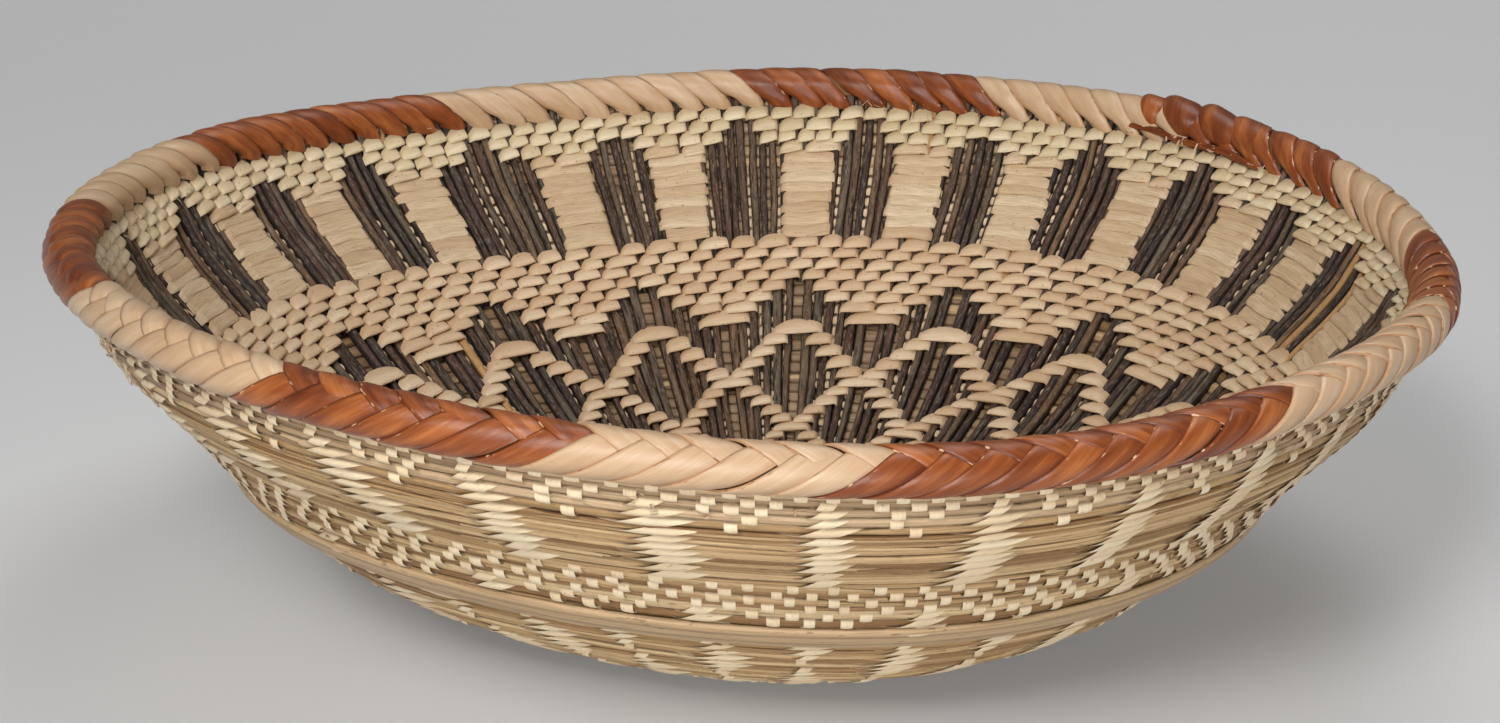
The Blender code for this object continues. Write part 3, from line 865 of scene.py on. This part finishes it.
# grass rows outside
stems = {
    "halfHeight": 0.47, "halfThick": 1.45, "sides": 8, "stations": 26,
    "lengths": (0.7, 1.6), "laps": (0.88, 0.97), "waves": (2.0, 4.7, 9.1),
    "heights": (0.82, 1.04), "thicks": (0.9, 1.06), "depths": (0.15, 0.9),
    "sway": 0.05, "swell": 0.07, "swellDepth": 0.1,
    # how a row's height is shared by its stems
    "parts": [[1.0], [0.56, 0.44], [0.42, 0.58], [0.36, 0.3, 0.34], [0.66, 0.34]], "wholeUntil": 4,
    "heart": {"halfHeight": 0.54, "halfThick": 0.7, "depth": 1.9, "sides": 6, "stations": 90},
}


def rowHearts(rows):
    # the stems behind the outer ones, which close each row
    plan = stems["heart"]
    row = np.array(rows, float)[:, None, None]
    angle = down(plan["stations"] + 1, 0, turn)
    clock = ring(plan["sides"], 0.5)
    depth = plan["depth"] + plan["halfThick"] * (1 - np.cos(clock))
    girth = rowPlace(row - plan["halfHeight"] * np.sin(clock), angle)
    points = wallPoint(angle, girth, depth)
    return points, layOf(clock * 2, angle * reachOf(girth), row * 0.017 + 0.2), True, False


def rowParts(row):
    if row <= stems["wholeUntil"]:
        return [1.0]
    return stems["parts"][dice.integers(0, len(stems["parts"]))]


def stemArcs(rows):
    # stems of limited length with thin ends, one to three side by side in each row
    spans = []
    for row in rows:
        edge = 1.0
        for share in rowParts(row):
            middle = edge - share
            edge -= 2 * share
            start = dice.uniform(0, turn)
            place = start
            while place < start + turn:
                length = dice.uniform(*stems["lengths"])
                spans.append((row - middle * 0.5, place, place + length, share))
                place += length * dice.uniform(*stems["laps"])
    count = len(spans)
    row, first, last, share = columns(spans)
    along = down(stems["stations"])
    clock = ring(stems["sides"])
    angle = first + along * (last - first)
    thin = 0.3 + 0.7 * np.sqrt(ease(np.minimum(along, 1 - along) / 0.1))
    sway = swell = 0.0
    for waveCount in stems["waves"]:
        sway = sway + np.sin(angle * waveCount * 3 + each(count, 0, turn)) / waveCount
        swell = swell + np.sin(angle * waveCount * 4 + each(count, 0, turn)) / waveCount ** 0.5
    half = stems["halfHeight"] * share * thin * each(count, *stems["heights"]) * (1 + stems["swell"] * swell)
    thick = stems["halfThick"] * (0.45 + 0.55 * share) * thin * each(count, *stems["thicks"])
    outer = weave["stemDepth"] + each(count, *stems["depths"]) + stems["swellDepth"] * swell
    girth = rowPlace(row + stems["sway"] * sway - half * np.sin(clock), angle)
    points = wallPoint(angle, girth, outer + thick * (1 - np.cos(clock)))
    return points, layOf(clock * 2, angle * reachOf(girth), each(count)), True, False


for name, first, last, material, node in (
    ("rimStems", -1, 4, duskGrass, "upper_weft"),
    ("upperStems", 4, 12, grass, "upper_weft"),
    ("lowerStems", 12, 21, grass, "lower_weft"),
    ("underStems", 21, 38, grass, "under_weft"),
    ("floorStems", 38, 54, grass, "floor_weft"),
):
    gridPiece(name, [stemArcs(range(first, last))], material, [node])
gridPiece("stemHearts", [rowHearts(range(-1, 54))], shadeGrass, [])

# wrapped coil that closes the middle of the floor, wound inwards
coil = {
    "girths": (16.0, 0.3), "pitch": 3.1, "depth": 3.9, "halfWidth": 1.75, "halfDepth": 3.0,
    "perTurn": 36, "sides": 10, "thinEnd": (0.35, 0.08), "layPace": 0.4, "number": 0.41,
}


def startCoil():
    outer, inner = coil["girths"]
    turns = (outer - inner) / coil["pitch"]
    t = down(int(turns * coil["perTurn"]))
    clock = ring(coil["sides"])
    least, over = coil["thinEnd"]
    thin = least + (1 - least) * ease(t / over)
    girth = outer + t * (inner - outer) + coil["halfWidth"] * thin * np.sin(clock)
    depth = coil["depth"] - coil["halfDepth"] * thin * np.cos(clock)
    length = turn * (outer + t * (inner - outer) / 2) * turns * t
    points = wallPoint(-t * turns * turn, girth, depth)
    return points, layOf(length, clock * coil["layPace"], coil["number"]), True, False


gridPiece("startCoil", [startCoil()], warmPalm, [])

# broad splint round the turn; its edges are in rows and uneven by a number of waves and their size
splint = {
    "top": 17.55, "topWaves": (9, 0.08), "low": 20.1, "lowWaves": (12, 0.1),
    "depth": -1.35, "depthWaves": (7, 0.12), "thick": 2.1, "edgeDepth": 0.25,
    "stations": 241, "sides": 16, "corners": (0.6, 0.45), "lay": (1.4, 140, 0.4),
}


def rounded(value, power):
    return np.sign(value) * np.abs(value) ** power


def makeSplint():
    angle = down(splint["stations"], 0, turn)
    clock = ring(splint["sides"])
    high = splint["top"] - wobble(angle, *splint["topWaves"])
    low = splint["low"] - wobble(angle, *splint["lowWaves"])
    up = rounded(np.sin(clock), splint["corners"][0])
    out = rounded(np.cos(clock), splint["corners"][1])
    girth = rowPlace((high + low) / 2 - (low - high) / 2 * up, angle)
    depth = splint["depth"] + splint["thick"] / 2 * (1 - out) + wobble(angle, *splint["depthWaves"])
    points = wallPoint(angle, girth, depth + splint["edgeDepth"] * up * up)
    across, along, number = splint["lay"]
    return points, layOf(girth * across, angle * along, number), True, False


gridPiece("broadSplint", [makeSplint()], splintGrass, ["base_splint"])

# palm outside: small squares between close stitches, long leaves behind the dark groups
leaf = {
    "width": 3.4, "widths": (0.85, 1.15), "around": 10, "across": 7, "arc": 6.6, "clock": 104,
    "shift": 0.95, "shifts": (0.85, 1.12), "slip": 0.4, "heights": (0.94, 1.02), "lift": (0.14, 0.2),
    # rows and the values there
    "rimShare": ([0, 4], [0.2, 1]), "longest": ([11, 13, 20, 22], [99, 12, 14, 20]),
    "square": ([3, 12, 18, 22], [3.2, 2.9, 2.9, 2.3]), "slim": ([17, 21], [1, 0.72]),
}


def outsideSpans(rows):
    # the gaps between the stitches of each row
    spans = []
    for row in rows:
        stitches = pattern[row]
        for index, (start, _, _) in enumerate(stitches):
            spans.append((row, stitches[index - 1][1] - (turn if index == 0 else 0), start))
    return spans


def wrapPatches(rows, proud):
    spans = outsideSpans(rows)
    count = len(spans)
    row, first, last = columns(spans)
    middle = (first + last) / 2
    reach = reachOf(rowPlace(row, middle))
    gap = (last - first) * reach * np.interp(row, *leaf["rimShare"])
    gap = np.minimum(gap, np.interp(row, *leaf["longest"]))
    shift = gap * leaf["shift"] * each(count, *leaf["shifts"])
    square = np.interp(row, *leaf["square"])
    slim = np.interp(row, *leaf["slim"])
    width = square + (leaf["width"] * slim - square) * ease((gap - 2) / 5)
    width = width * np.sqrt(1 + (shift / leaf["arc"]) ** 2) * each(count, *leaf["widths"])
    clock = down(leaf["around"], -1, 1) * math.radians(leaf["clock"])
    side = np.linspace(-0.5, 0.5, leaf["across"])[None, None, :]
    lift = leaf["lift"][0] + leaf["lift"][1] * (1 - (2 * np.abs(side)) ** 3) + proud
    share = clock / math.radians(leaf["clock"]) / 2
    place = middle + (share * shift + side * width + each(count, -leaf["slip"], leaf["slip"])) / reach
    height = stems["halfHeight"] * slim * each(count, *leaf["heights"])
    girth = rowPlace(row - height * rounded(np.sin(clock), 0.85), place)
    depth = weave["stemDepth"] + 0.15 + stems["halfThick"] - (stems["halfThick"] + lift) * np.cos(clock)
    points = wallPoint(place, girth, depth)
    return points, layOf(side * width, share * 8, each(count)), False, False


for name, first, last, proud in (
    ("upperOutsideWraps", -1, 12, 0.15),
    ("middleOutsideWraps", 12, 18, 0.15),
    ("splintOutsideWraps", 18, 21, 0.95),
    ("underOutsideWraps", 21, floorRows, 0.05),
):
    gridPiece(name, [wrapPatches(range(first, last), proud)], outerPalm, [])

# rim strips bound as a false braid: one family rises outside from under the roll, the other comes
# over the top, and each strip's edge on the side of falling angles lies on its neighbours
rim = {
    "count": 110, "overlap": 1.3, "across": 9, "slack": 0.08, "uneven": 0.06, "slip": 0.7,
    "crown": (0.55, 0.15), "tucked": 0.5,
    # clocks of both ends in degrees at the left edge, and how much further they are at the right one;
    # left edges as clock and place along the rim in mm, from where the two families cross;
    # narrow, swell and sink are a share, the clock where it starts and over how much clock it grows
    "under": {
        "low": (-114, 0), "high": (87, -42), "along": 18, "narrow": (0.25, -85, -25),
        "edge": [(-116, -20.4), (-92, -17.2), (-72, -14.4), (-20, -7.0), (30, 0.0), (71, 5.0), (95, 7.6)],
        "lift": (0.15, 0.6, 0.08), "end": (0.35, 0.9, 0.1), "sink": (0.9, -88, -20),
    },
    "over": {
        "low": (15, 44), "high": (238, 0), "along": 34, "narrow": (0.22, 190, 45),
        "edge": [(10, 3.0), (30, 0.0), (71, -6.2), (110, -9.9), (160, -15.2), (200, -19.2), (240, -21.4)],
        "lift": (0.5, 0.6, 0.14), "swell": (1.3, 130, 60), "start": (0.36, 7, 25),
    },
    # the rounded tips inside, which bend into the wall above the first row
    "tip": {"clock": 165, "row": -0.3, "middle": 0.28, "left": (2, 1.2), "right": (1.7, 2.2), "uneven": 0.4,
            "drop": 2.6, "inward": 0.015, "bend": (2.4, 8.0, 0.75), "foot": (5.6, 0.5)},
    # ranges of the dyed strips, in degrees
    "dyed": [(235.0, 259.2), (278.2, 309.6), (339.7, 359.6), (17.8, 44.0), (66.6, 91.9), (124.9, 155.8),
             (179.3, 209.5)],
}


def isDyed(angle):
    degrees = math.degrees(angle) % 360
    return any((degrees - a) % 360 < (b - a) % 360 for a, b in rim["dyed"])


def tipBend(points, angle, clock, high, lift, foot):
    # past the clock of the bend the strip follows a curve that ends in the wall at this girth
    plan = rim["tip"]
    share = np.clip((clock - plan["clock"]) / (high - plan["clock"]), 0, 1)[..., None]
    one = rollPoint(angle, math.radians(plan["clock"]), lift)
    inward = (one - rollPoint(angle, 0.0, lift)) * [plan["inward"], plan["inward"], 0]
    two = one + np.array([0, 0, -plan["drop"] * mm]) + inward
    above, depth, rise = plan["bend"]
    three = wallPoint(angle, foot + above, depth + rise * lift)
    depth, rise = plan["foot"]
    four = wallPoint(angle, foot, depth + rise * lift)
    curve = one * (1 - share) ** 3 + 3 * two * share * (1 - share) ** 2
    curve = curve + 3 * three * share ** 2 * (1 - share) + four * share ** 3
    return np.where(share > 0, curve, points)


def grown(value, share, start, over):
    return share * ease((value - start) / over)


def rimStrips(angles, family, pitch):
    count = len(angles)
    over = family == "over"
    plan = rim[family]
    jitter = dice.uniform(-1, 1, (count, 6, 1, 1))
    # the first column repeats the left edge, a little lower
    u = np.concatenate([[0.0], np.linspace(0, 1, rim["across"] - 1)])[None, None, :]
    tucked = (np.arange(rim["across"]) == 0) * rim["tucked"]
    t = down(plan["along"])
    low = plan["low"][0] + plan["low"][1] * u
    high = plan["high"][0] + plan["high"][1] * u ** 1.4
    clock = low + t * (high - low)
    left = np.interp(clock, *zip(*plan["edge"]))
    wide = (pitch + rim["overlap"]) * (1 + rim["uneven"] * jitter[:, 0]) * (1 - grown(clock, *plan["narrow"]))
    x = left + u * wide + rim["slip"] * jitter[:, 1]
    crown = (rim["crown"][0] + rim["crown"][1] * jitter[:, 3]) * 4 * u * (1 - u)
    least, lap, uneven = plan["lift"]
    if over:
        full = least + lap * (1 - u) + crown * (1 + grown(clock, *plan["swell"])) + uneven * jitter[:, 2]
        start, first, span = plan["start"]
        lift = start + ease((clock - low - first) / span) * (full - start)
    else:
        lift = least + lap * (1 - u) ** 1.2 + crown + uneven * jitter[:, 2]
        lift = lift - grown(t, *plan["end"]) * (1 - u) - grown(clock, *plan["sink"])
    lift = lift - tucked
    angle = angles[:, None, None] + x / bowl["rimRadius"]
    points = rollPoint(angle, np.radians(clock), lift)
    if over:
        tip = rim["tip"]
        middle = tip["middle"]
        away = np.clip((u - middle) / (1 - middle), 0, 1) ** tip["right"][0] * tip["right"][1]
        away = away + np.clip((middle - u) / middle, 0, 1) ** tip["left"][0] * tip["left"][1]
        foot = rowPlace(tip["row"], angle) + away + tip["uneven"] * jitter[:, 5]
        points = tipBend(points, angle, clock, high, lift, foot)
    return points, layOf(u * wide, clock * 0.1, each(count)), False, False


def makeRim():
    count = rim["count"]
    step = turn / count
    pitch = step * bowl["rimRadius"]
    angles = (np.arange(count) + dice.uniform(-rim["slack"], rim["slack"], count)) * step
    underDyed = np.array([isDyed(angle + step / 2) for angle in angles])
    overDyed = np.array([isDyed(angle - step / 2) for angle in angles])
    for name, under, over, material, prefix, slotName in (
        ("naturalRimStrips", ~underDyed, ~overDyed, naturalStrip, "natural_wrap_", "natural_strip"),
        ("dyedRimStrips", underDyed, overDyed, dyedStrip, "dyed_wrap_", "dyed_strip"),
    ):
        batches = [rimStrips(angles[over], "over", pitch), rimStrips(angles[under], "under", pitch)]
        gridPiece(name, batches, material, [prefix + str(k + 1) for k in range(7)])


makeRim()

# the knot where the rim strip starts and ends: broad loops that lie over each other, and one strip
# along their foot
splice = {
    # angle in degrees, width in mm, clock of both ends, height over the roll, lean along the rim in mm
    "loops": [(45.6, 11.0, -10, 196, 2.1, -7.0), (42.2, 17.0, -20, 212, 3.2, -11.0),
              (37.6, 17.5, -25, 220, 2.7, -14.0), (33.2, 15.0, -25, 224, 1.7, -14.0)],
    "across": 11, "along": 26, "roundEnd": 14, "pinch": 0.45, "lift": 0.5, "fold": (0.15, 7, 2, 5),
    # where the loops leave the roll for the wall, in degrees of clock, and what they reach there
    "leave": 192, "leaveOver": 30, "wallOver": 46, "wallGirth": 230.0, "wallRow": -0.5, "wallDepth": 6.9,
    "foot": {"angles": (47.5, 29.0), "girth": (227.5, 225.0), "depth": 8.6, "halfWidth": 1.2,
             "halfDepth": 0.5, "stations": 30, "sides": 8, "uneven": (0.5, 11, 0.3, 8), "number": 0.63},
}


def spliceLoops():
    count = len(splice["loops"])
    where, width, low, high, lift, lean = columns(splice["loops"])
    jitter = dice.uniform(-1, 1, (count, 2, 1, 1))
    u = np.linspace(0, 1, splice["across"])[None, None, :]
    t = down(splice["along"])
    clock = low + t * (high - low - splice["roundEnd"] * (2 * u - 1) ** 2)
    x = lean * (ease(t) - 0.5) + (0.5 - u) * width * (1 - splice["pinch"] * (2 * t - 1) ** 4)
    full = lift * (1 - (2 * u - 1) ** 2) ** 0.75 * np.sin(np.clip(t, 0.02, 0.98) * math.pi) ** 0.5
    size, pace, phase, alongPace = splice["fold"]
    fold = size * np.sin(u * pace + phase * jitter[:, 0]) * np.sin(t * alongPace + jitter[:, 1]) * lift
    angle = np.radians(where) + x / bowl["rimRadius"]
    points = rollPoint(angle, np.radians(clock), splice["lift"] + full + fold)
    fall = np.clip((clock - splice["leave"]) / splice["wallOver"], 0, 1.2)
    girth = splice["wallGirth"] + fall * (rowPlace(splice["wallRow"], angle) - splice["wallGirth"])
    wall = wallPoint(angle, girth, splice["wallDepth"] + full)
    points = points + ease((clock - splice["leave"]) / splice["leaveOver"])[..., None] * (wall - points)
    return points, layOf(u * width + 1, clock * 0.1, each(count)), False, True


def spliceFoot():
    plan = splice["foot"]
    t = down(plan["stations"])
    clock = ring(plan["sides"])
    thin = np.sqrt(np.clip(1 - (2 * t - 1) ** 8, 0.02, 1))
    angle, girth = [plan[key][0] + t * (plan[key][1] - plan[key][0]) for key in ("angles", "girth")]
    sway, pace, dip, dipPace = plan["uneven"]
    girth = girth + sway * np.sin(t * pace) + plan["halfWidth"] * thin * np.sin(clock)
    depth = plan["depth"] + plan["halfDepth"] * thin * np.cos(clock) + dip * np.sin(t * dipPace)
    return wallPoint(np.radians(angle), girth, depth), layOf(clock, t * 60, plan["number"]), True, False


gridPiece("spliceLoops", [spliceLoops(), spliceFoot()], dyedStrip, ["rim_splice"])

# loose fibres and broken strip ends: where they start, how they spread and how long they are
frays = {
    "sides": 4, "stations": 8, "curl": 0.7, "away": (0.1, 0.5), "flat": 0.35,
    "inside": [  # angles, girths, depths, number, lengths and half widths
        ((0, 360), (222.0, 226.0), (7.4, 8.2), 70, (1.2, 3.6), (0.08, 0.18)),
        ((160, 212), (221.0, 227.0), (7.4, 8.6), 50, (1.5, 5.0), (0.1, 0.25)),
        ((28, 47), (224.0, 227.0), (8.5, 9.2), 10, (1.5, 3.5), (0.25, 0.5)),
        ((70, 82), (221.0, 226.0), (7.4, 8.4), 16, (1.8, 5.0), (0.08, 0.18)),
    ],
    "outside": [
        ((196, 214), (204.0, 226.0), (-0.3, 0.0), 30, (1.8, 4.5), (0.25, 0.7)),
        ((180, 215), (205.0, 227.0), (-0.3, 0.1), 24, (2.0, 5.0), (0.08, 0.18)),
        ((202, 232), (138.0, 168.0), (-0.3, 0.1), 14, (1.6, 3.2), (0.25, 0.6)),
        ((262, 268), (217.0, 224.0), (-0.3, 0.1), 8, (1.2, 2.4), (0.25, 0.6)),
        ((310, 330), (218.0, 226.0), (-0.3, 0.1), 22, (1.6, 4.0), (0.2, 0.55)),
        ((312, 326), (158.0, 172.0), (-0.3, 0.1), 12, (1.6, 3.4), (0.25, 0.5)),
        ((0, 360), (60.0, 226.0), (-0.2, 0.1), 50, (1.0, 2.4), (0.1, 0.3)),
    ],
}


def fibreTubes(plans, outward):
    starts = [[dice.uniform(*span) for span in (angles, girths, depths, lengths, widths, (0, turn))]
              for angles, girths, depths, number, lengths, widths in plans for _ in range(number)]
    count = len(starts)
    angle, girth, depth, length, half, way = columns(starts)
    t = down(frays["stations"])
    clock = ring(frays["sides"])
    heading = way + each(count, -frays["curl"], frays["curl"]) * t
    step = length / (frays["stations"] - 1)
    thin = half * np.sqrt(np.clip(1 - t ** 3, 0.04, 1))
    x = np.cumsum(np.cos(heading), 1) * step - np.sin(heading) * thin * np.cos(clock)
    y = np.cumsum(np.sin(heading), 1) * step + np.cos(heading) * thin * np.cos(clock)
    away = each(count, *frays["away"]) * length * t ** 1.5 * (1 - 0.5 * t)
    depth = depth + outward * (away + frays["flat"] * thin * np.sin(clock))
    points = wallPoint(np.radians(angle) + x / reachAt(girth)[0], girth + y, depth)
    return points, layOf(clock, t * length, each(count)), True, False


fibres = [fibreTubes(frays["inside"], 1), fibreTubes(frays["outside"], -1)]
gridPiece("looseFibres", fibres, warmPalm, [])
for name in ("inner_hoop", "outer_hoop"):
    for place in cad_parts[name].material_slots:
        place.material = core

# floor, lamps and camera
studio = {
    "floor": 0.62, "floorHalf": 6, "nearGlow": 0.1, "farGlow": 0.36, "glowEdge": (1.4, 1.2), "world": 0.13,
    "lamps": [  # place, size, power, spread in degrees
        ((-0.4, -1.2, 1.05), 0.45, 2.45, 70),
        ((0.1, -1.35, 0.3), 0.4, 1.02, 60),
        ((0.3, 0.5, 1.5), 0.8, 7.2, 180),
    ],
    "aim": (0, 0, 0.05),
}


def makeFloor():
    half = studio["floorHalf"]
    mesh = bpy.data.meshes.new("floor")
    corners = [(-half, -half, 0), (half, -half, 0), (half, half, 0), (-half, half, 0)]
    mesh.from_pydata(corners, [], [(0, 1, 2, 3)])
    floor = link("floor", mesh)
    # pale paper, which keeps its tone far from the lamps
    shade = Shade("floorPaper")
    place = shade.add("ShaderNodeNewGeometry")
    length = shade.add("ShaderNodeVectorMath", {"operation": "LENGTH"}, {0: place}, 1)
    kinds = ("Camera", "Glossy", "Transmission")
    seen = [shade.add("ShaderNodeLightPath", output=f"Is {kind} Ray") for kind in kinds]
    seen = shade.add("ShaderNodeMath", {"operation": "MINIMUM"}, {0: seen[0] + seen[1] + seen[2], 1: 1.0})
    glow = seen * (length.above(*studio["glowEdge"]) * studio["farGlow"] + studio["nearGlow"])
    glow = shade.mix(glow, (0.0, 0.0, 0.0, 1.0), (1.0, 1.0, 1.0, 1.0))
    shade.feed(shade.surface, {
        "Base Color": (*(studio["floor"],) * 3, 1.0), "Roughness": 0.9,
        "Emission Color": glow, "Emission Strength": 1.0})
    mesh.materials.append(shade.material)


def makeLamps():
    world = bpy.data.worlds.new("studio")
    bpy.context.scene.world = world
    world.use_nodes = True
    background = world.node_tree.nodes["Background"]
    background.inputs["Color"].default_value = (1.0, 1.0, 1.0, 1.0)
    background.inputs["Strength"].default_value = studio["world"]
    for index, (place, size, power, spread) in enumerate(studio["lamps"]):
        lamp = bpy.data.lights.new(f"softbox{index + 1}", "AREA")
        lamp.size = size
        lamp.energy = power
        lamp.spread = math.radians(spread)
        holder = link(lamp.name, lamp)
        holder.location = place
        holder.rotation_euler = (Vector(studio["aim"]) - Vector(place)).to_track_quat("-Z", "Y").to_euler()


# focal length in pixels of the photograph, angles in degrees
eye = {
    "place": (-0.0008, -0.76985, 0.3237), "elevation": 18.30, "roll": 0.44, "focal": 2821.3, "pixels": 1500,
}


def makeCamera():
    tilt = math.radians(eye["elevation"])
    roll = math.radians(eye["roll"])
    forward = Vector((0, math.cos(tilt), -math.sin(tilt)))
    level = Vector((1, 0, 0))
    top = Vector((0, math.sin(tilt), math.cos(tilt)))
    right = math.cos(roll) * level + math.sin(roll) * top
    up = -math.sin(roll) * level + math.cos(roll) * top
    data = bpy.data.cameras.new("camera")
    data.sensor_width = 36.0
    data.lens = eye["focal"] * data.sensor_width / eye["pixels"]
    data.clip_start = 0.01
    camera = link("camera", data)
    pose = Matrix((right, up, -forward)).transposed().to_4x4()
    pose.translation = Vector(eye["place"])
    camera.matrix_world = pose
    bpy.context.scene.camera = camera


makeFloor()
makeLamps()
makeCamera()
bpy.context.scene.view_settings.view_transform = "Standard"
print("studio made")
